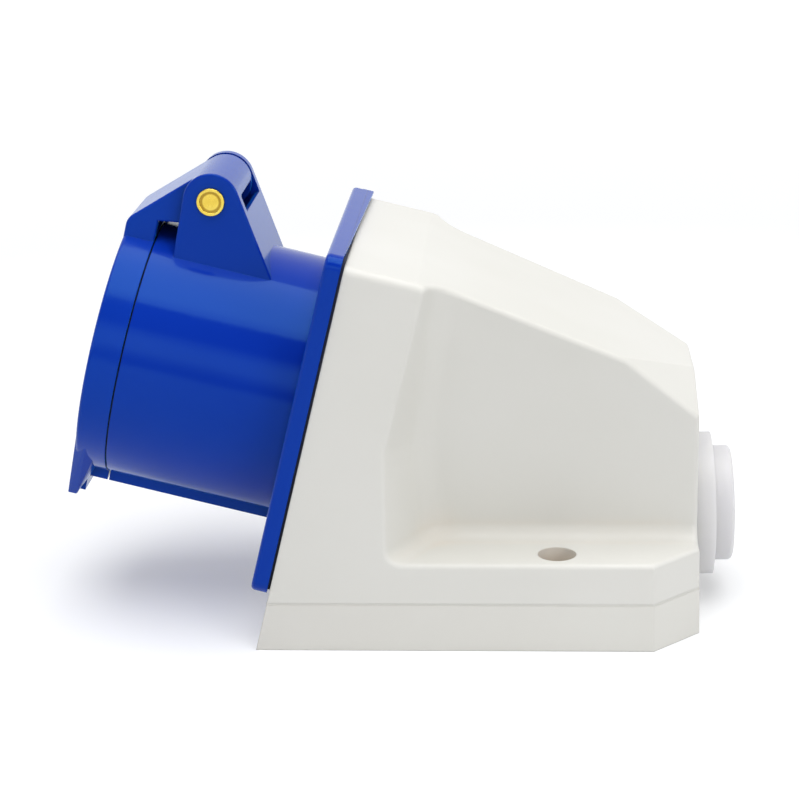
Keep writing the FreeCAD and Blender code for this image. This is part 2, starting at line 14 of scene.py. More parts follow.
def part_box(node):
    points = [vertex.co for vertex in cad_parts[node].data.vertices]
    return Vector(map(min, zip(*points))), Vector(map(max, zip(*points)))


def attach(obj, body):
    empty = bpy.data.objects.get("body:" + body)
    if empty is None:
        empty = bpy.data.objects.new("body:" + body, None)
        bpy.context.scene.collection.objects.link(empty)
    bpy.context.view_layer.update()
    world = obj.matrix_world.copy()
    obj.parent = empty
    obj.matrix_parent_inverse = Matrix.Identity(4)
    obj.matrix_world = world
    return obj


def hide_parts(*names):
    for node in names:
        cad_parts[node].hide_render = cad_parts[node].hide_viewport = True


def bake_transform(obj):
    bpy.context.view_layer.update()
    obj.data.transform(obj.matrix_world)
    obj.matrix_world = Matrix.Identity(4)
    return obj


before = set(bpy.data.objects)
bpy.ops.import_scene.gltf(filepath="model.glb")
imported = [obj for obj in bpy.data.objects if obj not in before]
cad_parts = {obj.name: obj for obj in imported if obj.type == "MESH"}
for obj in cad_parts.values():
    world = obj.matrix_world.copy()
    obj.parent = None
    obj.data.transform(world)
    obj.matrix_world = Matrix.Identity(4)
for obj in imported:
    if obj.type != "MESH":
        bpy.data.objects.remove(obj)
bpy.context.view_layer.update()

Span = tuple[float, float]
Triple = tuple[float, float, float]
Colour = tuple[float, float, float, float]

MM = 0.001
MERGE_DISTANCE = 0.001 * MM
WHITE: Colour = (1.0, 1.0, 1.0, 1.0)
BLUE_SHEEN: Colour = (0.27, 0.82, 1.0, 1.0)
BLUE_HAZE: Colour = (0.02, 0.4, 1.0, 1.0)
HAZE_ROUGHNESS = 0.35
NOISE_RANGE: Span = (0.3, 0.7)
TONE_SCALE = 22.0
SPOT_FADE = 1.8
EDGE_SAMPLES = 6
GAP_SAMPLES = 4
GAP_RANGE: Span = (0.1, 0.7)

log = logging.getLogger("surface_socket")


class Body(Enum):
    """The two bodies that the hinge joins."""

    ENCLOSURE = "enclosure"
    LID = "lid"


class Slot(Enum):
    """Material slots of the record."""

    GREY_SHELL = "grey_shell"
    GREY_BASE = "grey_base"
    BLACK_RUBBER = "black_rubber"
    CLEAR_RUBBER = "clear_rubber"
    BLUE_BODY = "blue_body"
    BLUE_LID = "blue_lid"
    BRASS = "brass"
    DARK_INSERT = "dark_insert"
    SPRING_STEEL = "spring_steel"
    SCREW_STEEL = "screw_steel"


def srgb(red: int, green: int, blue: int) -> Colour:
    """Turn an 8 bit display colour into a linear one.

    Args:
        red: Red from 0 to 255.
        green: Green from 0 to 255.
        blue: Blue from 0 to 255.

    Returns:
        The linear colour with full alpha.
    """
    values = []
    for level in (red, green, blue):
        share = level / 255.0
        values.append(share / 12.92 if share <= 0.04045 else ((share + 0.055) / 1.055) ** 2.4)
    return (values[0], values[1], values[2], 1.0)


class Sketch:
    """A small helper that places and links shader nodes in one tree."""

    def __init__(self, tree: bpy.types.NodeTree) -> None:
        """Keep the tree.

        Args:
            tree: The node tree of a material, a world or a group.
        """
        self.tree = tree

    def node(
        self, kind: str, sockets: dict[str | int, Any] | None = None, **settings: Any
    ) -> bpy.types.Node:
        """Add a node.

        Args:
            kind: The node's type name without its ShaderNode prefix.
            sockets: Input name or number to a constant value or an output socket.
            **settings: Properties of the node itself.

        Returns:
            The new node.
        """
        made = self.tree.nodes.new("ShaderNode" + kind)
        for name, value in settings.items():
            setattr(made, name, value)
        for name, value in (sockets or {}).items():
            self.feed(made.inputs[name], value)
        return made

    def feed(self, socket: bpy.types.NodeSocket, value: Any) -> None:
        """Give an input socket a constant or a link.

        Args:
            socket: The input socket.
            value: A constant, or the output socket that feeds it.
        """
        if isinstance(value, bpy.types.NodeSocket):
            self.tree.links.new(value, socket)
        else:
            socket.default_value = value

    def maths(self, operation: str, first: Any, second: Any = 0.0) -> bpy.types.NodeSocket:
        """Combine two values.

        Args:
            operation: Name of the arithmetic operation.
            first: A number or an output socket.
            second: A number or an output socket.

        Returns:
            The result's socket.
        """
        return self.node("Math", {0: first, 1: second}, operation=operation).outputs["Value"]

    def spread(
        self, value: Any, low: Any, high: Any, out_low: float, out_high: float
    ) -> bpy.types.NodeSocket:
        """Map a value from one range to another, held at its ends.

        Args:
            value: The value's socket.
            low: Start of the value's range, a number or an output socket.
            high: End of the value's range, a number or an output socket.
            out_low: Result at the start.
            out_high: Result at the end.

        Returns:
            The result's socket.
        """
        made = self.node(
            "MapRange",
            {"Value": value, "From Min": low, "From Max": high, "To Min": out_low, "To Max": out_high},
            clamp=True,
        )
        return made.outputs["Result"]

    def blend(self, share: Any, first: Colour | Any, second: Colour | Any) -> bpy.types.NodeSocket:
        """Mix two colours by a share.

        Args:
            share: How much of the second colour is taken.
            first: A colour or an output socket.
            second: A colour or an output socket.

        Returns:
            The mixed colour's socket.
        """
        made = self.node("Mix", {"Factor": share, "A": first, "B": second}, data_type="RGBA")
        return made.outputs["Result"]


def build_group(name: str, inputs: dict[str, float], outputs: Iterable[str]) -> tuple[Sketch, Any, Any]:
    """Start a shader group with value sockets.

    Args:
        name: The group's name.
        inputs: Input names with their default values.
        outputs: Output names.

    Returns:
        A sketch of the group's tree, its input node and its output node.
    """
    tree = bpy.data.node_groups.new(name, "ShaderNodeTree")
    for label, value in inputs.items():
        socket = tree.interface.new_socket(label, in_out="INPUT", socket_type="NodeSocketFloat")
        socket.default_value = value
    for label in outputs:
        tree.interface.new_socket(label, in_out="OUTPUT", socket_type="NodeSocketFloat")
    entry = tree.nodes.new("NodeGroupInput")
    leave = tree.nodes.new("NodeGroupOutput")
    return Sketch(tree), entry, leave


class SharedEffects:
    """Shader groups that several finishes use."""

    def __init__(self) -> None:
        """Build each group once."""
        self.skin = self._moulded_skin()
        self.specks = self._specks()
        self.turning = self._turning_marks()

    @staticmethod
    def _moulded_skin() -> bpy.types.NodeTree:
        """Uneven tone, fine grain and soft waves of a moulded surface."""
        sketch, entry, leave = build_group(
            "moulded_skin",
            {"Grain Scale": 2500.0, "Wave Scale": 120.0, "Tone Scale": 25.0},
            ("Tone", "Grain", "Wave"),
        )
        place = sketch.node("TexCoord").outputs["Object"]
        tone = sketch.node("TexNoise", {"Vector": place, "Scale": entry.outputs["Tone Scale"], "Detail": 3.0})
        grain = sketch.node(
            "TexNoise",
            {"Vector": place, "Scale": entry.outputs["Grain Scale"], "Detail": 2.0, "Roughness": 0.6},
        )
        wave = sketch.node("TexNoise", {"Vector": place, "Scale": entry.outputs["Wave Scale"], "Detail": 1.5})
        sketch.feed(leave.inputs["Tone"], sketch.spread(tone.outputs["Fac"], *NOISE_RANGE, 0.0, 1.0))
        sketch.feed(leave.inputs["Grain"], grain.outputs["Fac"])
        sketch.feed(leave.inputs["Wave"], wave.outputs["Fac"])
        return sketch.tree

    @staticmethod
    def _specks() -> bpy.types.NodeTree:
        """Sparse small spots: dust, inclusions and tiny nicks."""
        sketch, entry, leave = build_group(
            "specks",
            {"Spacing Scale": 90.0, "Spot Size": 0.05, "Share": 0.2},
            ("Mask",),
        )
        place = sketch.node("TexCoord").outputs["Object"]
        cells = sketch.node("TexVoronoi", {"Vector": place, "Scale": entry.outputs["Spacing Scale"]})
        fade = sketch.maths("MULTIPLY", entry.outputs["Spot Size"], SPOT_FADE)
        near = sketch.spread(cells.outputs["Distance"], entry.outputs["Spot Size"], fade, 1.0, 0.0)
        parts = sketch.node("SeparateColor", {"Color": cells.outputs["Color"]})
        chosen = sketch.maths("LESS_THAN", parts.outputs["Red"], entry.outputs["Share"])
        sketch.feed(leave.inputs["Mask"], sketch.maths("MULTIPLY", near, chosen))
        return sketch.tree

    @staticmethod
    def _turning_marks() -> bpy.types.NodeTree:
        """Fine uneven rings such as a cutting tool leaves on metal."""
        sketch, entry, leave = build_group(
            "turning_marks", {"Ring Scale": 900.0, "Stretch": 0.08}, ("Height",)
        )
        place = sketch.node("TexCoord").outputs["Object"]
        squeeze = sketch.node("CombineXYZ", {"X": 1.0, "Y": entry.outputs["Stretch"], "Z": 1.0})
        along = sketch.node("VectorMath", {0: place, 1: squeeze.outputs["Vector"]}, operation="MULTIPLY")
        noise = sketch.node(
            "TexNoise",
            {"Vector": along.outputs["Vector"], "Scale": entry.outputs["Ring Scale"], "Detail": 2.0},
        )
        sketch.feed(leave.inputs["Height"], noise.outputs["Fac"])
        return sketch.tree


@dataclass(frozen=True)
class Finish:
    """What every finish has: a name and its main colour."""

    name: str
    colour: Colour

    def start(self) -> tuple[bpy.types.Material, Sketch, bpy.types.Node]:
        """Make an empty material with its shader.

        Returns:
            The material, a sketch of its tree and the shader node.
        """
        material = bpy.data.materials.new(self.name)
        material.use_nodes = True
        material.diffuse_color = self.colour
        sketch = Sketch(material.node_tree)
        shader = material.node_tree.nodes["Principled BSDF"]
        return material, sketch, shader

    @staticmethod
    def paint_gap_shading(
        sketch: Sketch, colour: Any, gap_shading: Colour, reach: float, alone: bool = False
    ) -> bpy.types.NodeSocket:
        """Paint shade into narrow gaps by ambient occlusion; a paler gap colour paints light there instead.

        Args:
            sketch: The material's sketch.
            colour: The open surface's colour.
            gap_shading: The colour deep in a gap.
            reach: How far from a neighbour the gap begins, in metres.
            alone: Whether only the piece's own surfaces make a gap.

        Returns:
            The mixed colour's socket.
        """
        open_air = sketch.node(
            "AmbientOcclusion", {"Distance": reach}, samples=GAP_SAMPLES, only_local=alone
        )
        openness = sketch.spread(open_air.outputs["AO"], *GAP_RANGE, 0.0, 1.0)
        return sketch.blend(openness, gap_shading, colour)

    def build(self, effects: SharedEffects) -> bpy.types.Material:
        """Make the material.

        Args:
            effects: The shared shader groups.

        Returns:
            The finished material.
        """
        raise NotImplementedError


@dataclass(frozen=True)
class MouldedPlastic(Finish):
    """Moulded plastic with grain, soft waves, uneven tone and sparse specks."""

    shade: Colour
    speck: Colour
    rough: float
    rough_spread: float
    specular: float
    edge_round: float
    gap_shading: Colour
    gap_shading_reach: float
    grain_scale: float
    grain_height: float
    wave_scale: float
    wave_height: float
    speck_scale: float
    speck_size: float
    speck_share: float
    sheen_tint: Colour = WHITE
    haze: float = 0.0
    haze_tint: Colour = WHITE
    gap_shading_alone: bool = False

    def build(self, effects: SharedEffects) -> bpy.types.Material:
        """Make the plastic's material."""
        material, sketch, shader = self.start()
        skin = sketch.node(
            "Group",
            {"Grain Scale": self.grain_scale, "Wave Scale": self.wave_scale, "Tone Scale": TONE_SCALE},
            node_tree=effects.skin,
        )
        spots = sketch.node(
            "Group",
            {"Spacing Scale": self.speck_scale, "Spot Size": self.speck_size, "Share": self.speck_share},
            node_tree=effects.specks,
        )
        toned = sketch.blend(skin.outputs["Tone"], self.shade, self.colour)
        worn = sketch.blend(spots.outputs["Mask"], toned, self.speck)
        # Painted light and shade in narrow gaps: shade for the darker gap colours, light for the grey
        # finishes' paler one.
        deep = self.paint_gap_shading(sketch, worn, self.gap_shading, self.gap_shading_reach, self.gap_shading_alone)
        sketch.feed(shader.inputs["Base Color"], deep)
        low = self.rough - self.rough_spread
        high = self.rough + self.rough_spread
        sketch.feed(shader.inputs["Roughness"], sketch.spread(skin.outputs["Tone"], 0.0, 1.0, high, low))
        shader.inputs["Specular IOR Level"].default_value = self.specular
        shader.inputs["Specular Tint"].default_value = self.sheen_tint
        shader.inputs["Sheen Weight"].default_value = self.haze
        shader.inputs["Sheen Roughness"].default_value = HAZE_ROUGHNESS
        shader.inputs["Sheen Tint"].default_value = self.haze_tint
        edge = sketch.node("Bevel", {"Radius": self.edge_round}, samples=EDGE_SAMPLES)
        swell = sketch.node(
            "Bump",
            {
                "Height": skin.outputs["Wave"],
                "Distance": self.wave_height,
                "Strength": 1.0,
                "Normal": edge.outputs["Normal"],
            },
        )
        fine = sketch.node(
            "Bump",
            {
                "Height": skin.outputs["Grain"],
                "Distance": self.grain_height,
                "Strength": 1.0,
                "Normal": swell.outputs["Normal"],
            },
        )
        sketch.feed(shader.inputs["Normal"], fine.outputs["Normal"])
        return material


@dataclass(frozen=True)
class TranslucentRubber(Finish):
    """Milky soft plastic that light passes into."""

    shade: Colour
    rough: float
    scatter: float
    rough_spread: float = 0.06
    scatter_depth: float = 4.0 * MM
    scatter_mix: Triple = (1.0, 1.0, 1.1)
    wave_height: float = 4.0e-5

    def build(self, effects: SharedEffects) -> bpy.types.Material:
        """Make the milky material."""
        material, sketch, shader = self.start()
        skin = sketch.node(
            "Group",
            {"Grain Scale": 1800.0, "Wave Scale": 160.0, "Tone Scale": 60.0},
            node_tree=effects.skin,
        )
        sketch.feed(shader.inputs["Base Color"], sketch.blend(skin.outputs["Tone"], self.shade, self.colour))
        sketch.feed(
            shader.inputs["Roughness"],
            sketch.spread(
                skin.outputs["Tone"], 0.0, 1.0, self.rough + self.rough_spread, self.rough - self.rough_spread
            ),
        )
        shader.inputs["Subsurface Weight"].default_value = self.scatter
        shader.inputs["Subsurface Radius"].default_value = self.scatter_mix
        shader.inputs["Subsurface Scale"].default_value = self.scatter_depth
        fine = sketch.node(
            "Bump", {"Height": skin.outputs["Wave"], "Distance": self.wave_height, "Strength": 1.0}
        )
        sketch.feed(shader.inputs["Normal"], fine.outputs["Normal"])
        return material


@dataclass(frozen=True)
class BareMetal(Finish):
    """Turned or drawn metal with fine marks."""

    shade: Colour
    rough: float
    ring_scale: float
    mark_height: float
    gap_shading: Colour
    gap_shading_reach: float
    rough_rise: float = 0.08
    rough_fall: float = 0.05
    groove_radius: float = 0.0
    groove_edge: Span = (0.1 * MM, 0.34 * MM)
    groove_share: float = 0.7

    def _paint_groove_shade(self, sketch: Sketch, colour: Any) -> Any:
        """Paint shade as a dark ring round the hinge pin's axis, where its head is grooved.

        Args:
            sketch: The material's sketch.
            colour: The metal's colour without the painted ring.

        Returns:
            The colour with the painted shade ring, or the same colour for a metal without a groove.
        """
        if not self.groove_radius:
            return colour
        low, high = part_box("hinge_pin")
        centre = (low + high) / 2
        place = sketch.node("TexCoord").outputs["Object"]
        offset = sketch.node("VectorMath", {0: place, 1: tuple(centre)}, operation="SUBTRACT")
        flat = sketch.node(
            "VectorMath", {0: offset.outputs["Vector"], 1: (1.0, 0.0, 1.0)}, operation="MULTIPLY"
        )
        reach = sketch.node("VectorMath", {0: flat.outputs["Vector"]}, operation="LENGTH")
        away = sketch.maths("SUBTRACT", reach.outputs["Value"], self.groove_radius)
        away = sketch.maths("ABSOLUTE", away)
        ring = sketch.spread(away, *self.groove_edge, self.groove_share, 0.0)
        return sketch.blend(ring, colour, self.gap_shading)

    def build(self, effects: SharedEffects) -> bpy.types.Material:
        """Make the metal's material."""
        material, sketch, shader = self.start()
        marks = sketch.node("Group", {"Ring Scale": self.ring_scale}, node_tree=effects.turning)
        skin = sketch.node(
            "Group",
            {"Grain Scale": 3000.0, "Wave Scale": 500.0, "Tone Scale": 180.0},
            node_tree=effects.skin,
        )
        shader.inputs["Metallic"].default_value = 1.0
        toned = sketch.blend(skin.outputs["Tone"], self.shade, self.colour)
        # Painted shade ring on the grooved pin head.
        groove_shaded = self._paint_groove_shade(sketch, toned)
        # Painted shade in narrow gaps, by ambient occlusion.
        sketch.feed(shader.inputs["Base Color"], self.paint_gap_shading(sketch, groove_shaded, self.gap_shading, self.gap_shading_reach))
        sketch.feed(
            shader.inputs["Roughness"],
            sketch.spread(
                marks.outputs["Height"],
                *NOISE_RANGE,
                self.rough + self.rough_rise,
                self.rough - self.rough_fall,
            ),
        )
        fine = sketch.node(
            "Bump", {"Height": marks.outputs["Height"], "Distance": self.mark_height, "Strength": 1.0}
        )
        sketch.feed(shader.inputs["Normal"], fine.outputs["Normal"])
        return material


# Gap colours paint light and shade into narrow gaps: the darker ones are painted shade, the grey finishes'
# paler warm one is painted light.
FINISHES: dict[Slot, Finish] = {
    Slot.BLUE_BODY: MouldedPlastic(
        name="blue_body", colour=srgb(11, 51, 168), shade=srgb(8, 45, 159), speck=srgb(120, 150, 215),
        rough=0.12, rough_spread=0.03, specular=0.24, edge_round=0.25 * MM,
        gap_shading=srgb(2, 16, 84), gap_shading_reach=3.0 * MM,
        sheen_tint=BLUE_SHEEN, haze=0.3, haze_tint=BLUE_HAZE,
        grain_scale=2200.0, grain_height=4.0e-6,
        wave_scale=260.0, wave_height=2.0e-5, speck_scale=110.0, speck_size=0.035, speck_share=0.06,
    ),
    # Same blue plastic as the body; the lid's slightly lighter colour is painted light.
    Slot.BLUE_LID: MouldedPlastic(
        name="blue_lid", colour=srgb(12, 54, 170), shade=srgb(8, 47, 160), speck=srgb(120, 150, 215),
        rough=0.16, rough_spread=0.03, specular=0.24, edge_round=0.25 * MM,
        gap_shading=srgb(2, 16, 84), gap_shading_reach=3.0 * MM,
        sheen_tint=BLUE_SHEEN, haze=0.3, haze_tint=BLUE_HAZE,
        grain_scale=2200.0, grain_height=4.0e-6,
        wave_scale=220.0, wave_height=2.0e-5, speck_scale=110.0, speck_size=0.03, speck_share=0.04,
    ),
    Slot.GREY_SHELL: MouldedPlastic(
        name="grey_shell", colour=srgb(226, 225, 220), shade=srgb(222, 221, 215), speck=srgb(150, 146, 136),
        rough=0.42, rough_spread=0.05, specular=0.4, edge_round=0.35 * MM,
        # The paler warm gap colour is painted light in the shell's hollows.
        gap_shading=srgb(240, 224, 206), gap_shading_reach=8.0 * MM, gap_shading_alone=True,
        grain_scale=1500.0, grain_height=1.0e-5,
        wave_scale=90.0, wave_height=4.0e-5, speck_scale=70.0, speck_size=0.022, speck_share=0.12,
    ),
    Slot.GREY_BASE: MouldedPlastic(
        name="grey_base", colour=srgb(225, 224, 218), shade=srgb(221, 219, 213), speck=srgb(150, 146, 136),
        rough=0.44, rough_spread=0.05, specular=0.4, edge_round=0.35 * MM,
        # The paler warm gap colour is painted light in the base's hollows.
        gap_shading=srgb(240, 224, 206), gap_shading_reach=8.0 * MM, gap_shading_alone=True,
        grain_scale=1500.0, grain_height=1.0e-5,
        wave_scale=90.0, wave_height=4.0e-5, speck_scale=70.0, speck_size=0.022, speck_share=0.12,
    ),
    Slot.BLACK_RUBBER: MouldedPlastic(
        name="black_rubber", colour=srgb(17, 22, 48), shade=srgb(13, 17, 40), speck=srgb(60, 64, 80),
        rough=0.62, rough_spread=0.06, specular=0.3, edge_round=0.1 * MM,
        gap_shading=srgb(6, 7, 14), gap_shading_reach=1.0 * MM,
        grain_scale=2500.0, grain_height=2.0e-5,
        wave_scale=400.0, wave_height=2.0e-5, speck_scale=200.0, speck_size=0.05, speck_share=0.1,
    ),
    Slot.DARK_INSERT: MouldedPlastic(
        name="dark_insert", colour=srgb(34, 35, 38), shade=srgb(27, 28, 31), speck=srgb(80, 80, 84),
        rough=0.4, rough_spread=0.06, specular=0.45, edge_round=0.2 * MM,
        gap_shading=srgb(12, 12, 14), gap_shading_reach=2.0 * MM,
        grain_scale=2000.0, grain_height=1.0e-5,
        wave_scale=300.0, wave_height=1.0e-5, speck_scale=180.0, speck_size=0.03, speck_share=0.06,
    ),
    Slot.CLEAR_RUBBER: TranslucentRubber(
        name="clear_rubber", colour=srgb(220, 219, 219), shade=srgb(212, 211, 215), rough=0.5, scatter=0.8,
    ),
    Slot.BRASS: BareMetal(
        name="brass", colour=srgb(236, 216, 110), shade=srgb(226, 196, 80), rough=0.26, ring_scale=900.0,
        # groove_radius places a painted shade ring in the pin head's dish.
        mark_height=4.0e-7, gap_shading=srgb(128, 88, 14), gap_shading_reach=0.6 * MM, groove_radius=1.75 * MM,
    ),
    Slot.SPRING_STEEL: BareMetal(
        name="spring_steel", colour=srgb(186, 188, 192), shade=srgb(168, 170, 175), rough=0.3,
        ring_scale=1600.0, mark_height=1.0e-6, gap_shading=srgb(60, 60, 64), gap_shading_reach=0.6 * MM,
    ),
    Slot.SCREW_STEEL: BareMetal(
        name="screw_steel", colour=srgb(200, 202, 206), shade=srgb(180, 183, 188), rough=0.28,
        ring_scale=1200.0, mark_height=1.0e-6, gap_shading=srgb(50, 48, 46), gap_shading_reach=0.8 * MM,
    ),
}


@dataclass
class SubAssembly:
    """A group of nodes that are dressed together."""

    title: str
    finishes: dict[str, Slot]
    materials: dict[Slot, bpy.types.Material]

    def dress(self) -> None:
        """Give each node of the group its finish."""
        for node, slot in self.finishes.items():
            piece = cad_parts[node]
            piece.data.materials.clear()
            piece.data.materials.append(self.materials[slot])
            log.info("%s: %s has the finish %s", self.title, node, slot.value)


@dataclass
class LidSpring(SubAssembly):
    """The torsion spring, which twists between the enclosure and the lid."""

    coil_half: float = 5.2 * MM

    def build(self) -> bpy.types.Object:
        """Make a smooth copy of the spring in spring steel and hide the CAD spring.

        Returns:
            The spring's object.
        """
        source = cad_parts["hinge_spring"]
        mesh = source.data.copy()
        shape = bmesh.new()
        shape.from_mesh(mesh)
        bmesh.ops.remove_doubles(shape, verts=shape.verts, dist=MERGE_DISTANCE)
        for face in shape.faces:
            face.smooth = True
        shape.to_mesh(mesh)
        shape.free()
        mesh.materials.clear()
        mesh.materials.append(self.materials[Slot.SPRING_STEEL])
        piece = bpy.data.objects.new("twisting_spring", mesh)
        bpy.context.scene.collection.objects.link(piece)
        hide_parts("hinge_spring")
        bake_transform(piece)
        log.info("lid spring: %d faces", len(mesh.polygons))
        return piece


class SocketAxes:
    """The tilted axes of the socket, with points in millimetres on them."""

    tilt: float = math.radians(14.2)
    height: float = 43.05
    row_shift: float = -56.5

    @classmethod
    def spot(cls, out: float, across: float, up: float) -> Vector:
        """Give a point in metres.

        Args:
            out: Distance out of the enclosure's tilted face.
            across: Distance to the far side.
            up: Distance up from the socket's axis.

        Returns:
            The point in the model's frame.
        """
        cosine, sine = math.cos(cls.tilt), math.sin(cls.tilt)
        rise = cls.height + up
        return Vector((cls.row_shift - cosine * out + sine * rise, across, sine * out + cosine * rise)) * MM


@dataclass
class AddedForm:
    """A moulded form that stands on a CAD piece and moves with its body."""

    name: str
    body: Body
    slot: Slot
    materials: dict[Slot, bpy.types.Material]
    edge_bevel: float = 0.22 * MM
    edge_steps: int = 3
    sharp: float = math.radians(30.0)
    flat: float = math.radians(0.5)

    def shape(self) -> bmesh.types.BMesh:
        """Make the form's mesh.

        Returns:
            The open bmesh, in place.
        """
        raise NotImplementedError

    def soften(self, form: bmesh.types.BMesh) -> None:
        """Round the sharp edges of the form.

        Args:
            form: A closed bmesh.
        """
        bmesh.ops.recalc_face_normals(form, faces=form.faces)
        edges = [edge for edge in form.edges if edge.is_manifold and edge.calc_face_angle() > self.sharp]
        bmesh.ops.bevel(
            form,
            geom=edges,
            offset=self.edge_bevel,
            segments=self.edge_steps,
            profile=0.5,
            affect="EDGES",
            material=-1,
        )

    def wrap(self, form: bmesh.types.BMesh) -> None:
        """Turn loose points into their hull, with its sharp edges rounded.

        Args:
            form: A bmesh of the points.
        """
        hull = bmesh.ops.convex_hull(form, input=form.verts)
        spare = [item for item in hull["geom_interior"] if isinstance(item, bmesh.types.BMVert)]
        bmesh.ops.delete(form, geom=spare, context="VERTS")
        bmesh.ops.dissolve_limit(form, angle_limit=self.flat, verts=form.verts, edges=form.edges)
        self.soften(form)

    def build(self) -> bpy.types.Object:
        """Make the piece, dress it and let it ride on its body.

        Returns:
            The new object.
        """
        form = self.shape()
        mesh = bpy.data.meshes.new(self.name)
        form.to_mesh(mesh)
        form.free()
        mesh.materials.append(self.materials[self.slot])
        piece = bpy.data.objects.new(self.name, mesh)
        bpy.context.scene.collection.objects.link(piece)
        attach(piece, self.body.value)
        log.info("%s: %d faces", self.name, len(mesh.polygons))
        return piece


@dataclass
class LidForm(AddedForm):
    """A form between the lid's rim and its tab's foot, in millimetres on the socket's axes."""

    rim: float = 25.15
    face_rim: float = 24.5
    plate_back: float = 40.25
    face: float = 42.5
    foot_half: float = 9.3
    foot_low: float = -29.9
    foot_back: float = 41.85
    foot_front: float = 43.5


@dataclass
class LidTongue(LidForm):
    """Broad tongue that runs from the lid's rim to its lift tab."""

    root: float = -12.0
    segments: int = 96

    def shape(self) -> bmesh.types.BMesh:
        """Wrap the lower part of the lid's rim and the tab's foot."""
        form = bmesh.new()
        for out, radius in ((self.plate_back, self.rim), (self.face, self.face_rim)):
            ring = bmesh.ops.create_circle(form, segments=self.segments, radius=radius)["verts"]
            lower = [vert for vert in ring if vert.co.y < self.root]
            bmesh.ops.delete(form, geom=[vert for vert in ring if vert not in lower], context="VERTS")
            for vert in lower:
                vert.co = SocketAxes.spot(out, vert.co.x, vert.co.y)
        for out in (self.foot_back, self.foot_front):
            for across in (-self.foot_half, self.foot_half):
                form.verts.new(SocketAxes.spot(out, across, self.foot_low))
        self.wrap(form)
        return form


@dataclass
class LidGusset(LidForm):
    """Gusset that joins the lid's skirt to one side of the tongue's foot."""

    side: float = -1.0
    skirt: float = 39.1
    wide: Span = (9.0, 56.0)
    narrow: Span = (20.0, 38.0)
    steps: int = 16

    def shape(self) -> bmesh.types.BMesh:
        """Wrap arcs of the lid's rim and the foot's corner."""
        form = bmesh.new()
        arcs = (
            (self.skirt, self.rim, self.narrow),
            (self.plate_back, self.rim, self.wide),
            (self.face, self.face_rim, self.wide),
        )
        for out, radius, (first, last) in arcs:
            for step in range(self.steps + 1):
                turn = math.radians(first + (last - first) * step / self.steps)
                across = self.side * radius * math.sin(turn)
                form.verts.new(SocketAxes.spot(out, across, -radius * math.cos(turn)))
        for out in (self.foot_back, self.foot_front):
            form.verts.new(SocketAxes.spot(out, self.side * self.foot_half, self.foot_low))
        self.wrap(form)
        return form


@dataclass
class FlangeLip(AddedForm):
    """Thin lip along the flange's upper rear edge, in millimetres, which widens to the far side."""

    across: Span = (-27.0, 30.8)
    back: Span = (0.42, -0.78)
    front: float = 1.6
    up: Span = (33.5, 34.27)

    def shape(self) -> bmesh.types.BMesh:
        """Stretch a block between its limits."""
        form = bmesh.new()
        for vert in bmesh.ops.create_cube(form, size=1.0)["verts"]:
            share = vert.co + Vector((0.5, 0.5, 0.5))
            back = self.back[0] + (self.back[1] - self.back[0]) * share.y
            spans = ((back, self.front), self.across, self.up)
            values = [low + (high - low) * part for (low, high), part in zip(spans, share)]
            vert.co = SocketAxes.spot(*values)
        self.soften(form)
        return form


@dataclass
class SeamLip(AddedForm):
    """Pale rim of the base plate that stands just behind the seam."""

    level: float = 8.9 * MM
    rise: float = 0.55 * MM
    inset: float = 0.07 * MM
    wall: float = 0.3 * MM

    def shape(self) -> bmesh.types.BMesh:
        """Take the base plate's outline, raise it and give it a wall."""
        form = bmesh.new()
        form.from_mesh(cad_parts["base_plate"].data)
        bmesh.ops.remove_doubles(form, verts=form.verts, dist=MERGE_DISTANCE)
        bmesh.ops.bisect_plane(
            form,
            geom=form.verts[:] + form.edges[:] + form.faces[:],
            plane_co=(0.0, 0.0, self.level),
            plane_no=(0.0, 0.0, 1.0),
            clear_inner=True,
            clear_outer=True,
        )
        outline = self._outer_loop(form)
        spare = [vert for vert in form.verts if vert not in outline]
        bmesh.ops.delete(form, geom=spare, context="VERTS")
        raised = bmesh.ops.extrude_edge_only(form, edges=form.edges[:])["geom"]
        top = [item for item in raised if isinstance(item, bmesh.types.BMVert)]
        bmesh.ops.translate(form, verts=top, vec=(0.0, 0.0, self.rise))
        bmesh.ops.recalc_face_normals(form, faces=form.faces)
        form.normal_update()
        centre = sum((vert.co for vert in form.verts), Vector()) / len(form.verts)
        for vert in form.verts:
            outward = vert.normal if vert.normal.dot(vert.co - centre) > 0 else -vert.normal
            vert.co -= outward * self.inset
        bmesh.ops.solidify(form, geom=form.faces[:], thickness=self.wall)
        bmesh.ops.recalc_face_normals(form, faces=form.faces)
        return form

    @staticmethod
    def _outer_loop(form: bmesh.types.BMesh) -> set[bmesh.types.BMVert]:
        """Find the loop that reaches furthest.

        Args:
            form: A bmesh of loose loops.

        Returns:
            The vertices of that loop.
        """
        start = min(form.verts, key=lambda vert: vert.co.y)
        found = {start}
        front = [start]
        while front:
            vert = front.pop()
            for edge in vert.link_edges:
                other = edge.other_vert(vert)
                if other not in found:
                    found.add(other)
                    front.append(other)
        return found


@dataclass(frozen=True)
class Softbox:
    """One soft studio lamp."""

    name: str
    place: Triple
    target: Triple
    width: float
    height: float
    power: float

    def build(self) -> None:
        """Hang the lamp and point it."""
        lamp = bpy.data.lights.new(self.name, "AREA")
        lamp.shape = "RECTANGLE"
        lamp.size = self.width
        lamp.size_y = self.height
        lamp.energy = self.power
        holder = bpy.data.objects.new(self.name, lamp)
        holder.location = self.place
        aim = Vector(self.target) - Vector(self.place)
        holder.rotation_euler = aim.to_track_quat("-Z", "Y").to_euler()
        bpy.context.scene.collection.objects.link(holder)


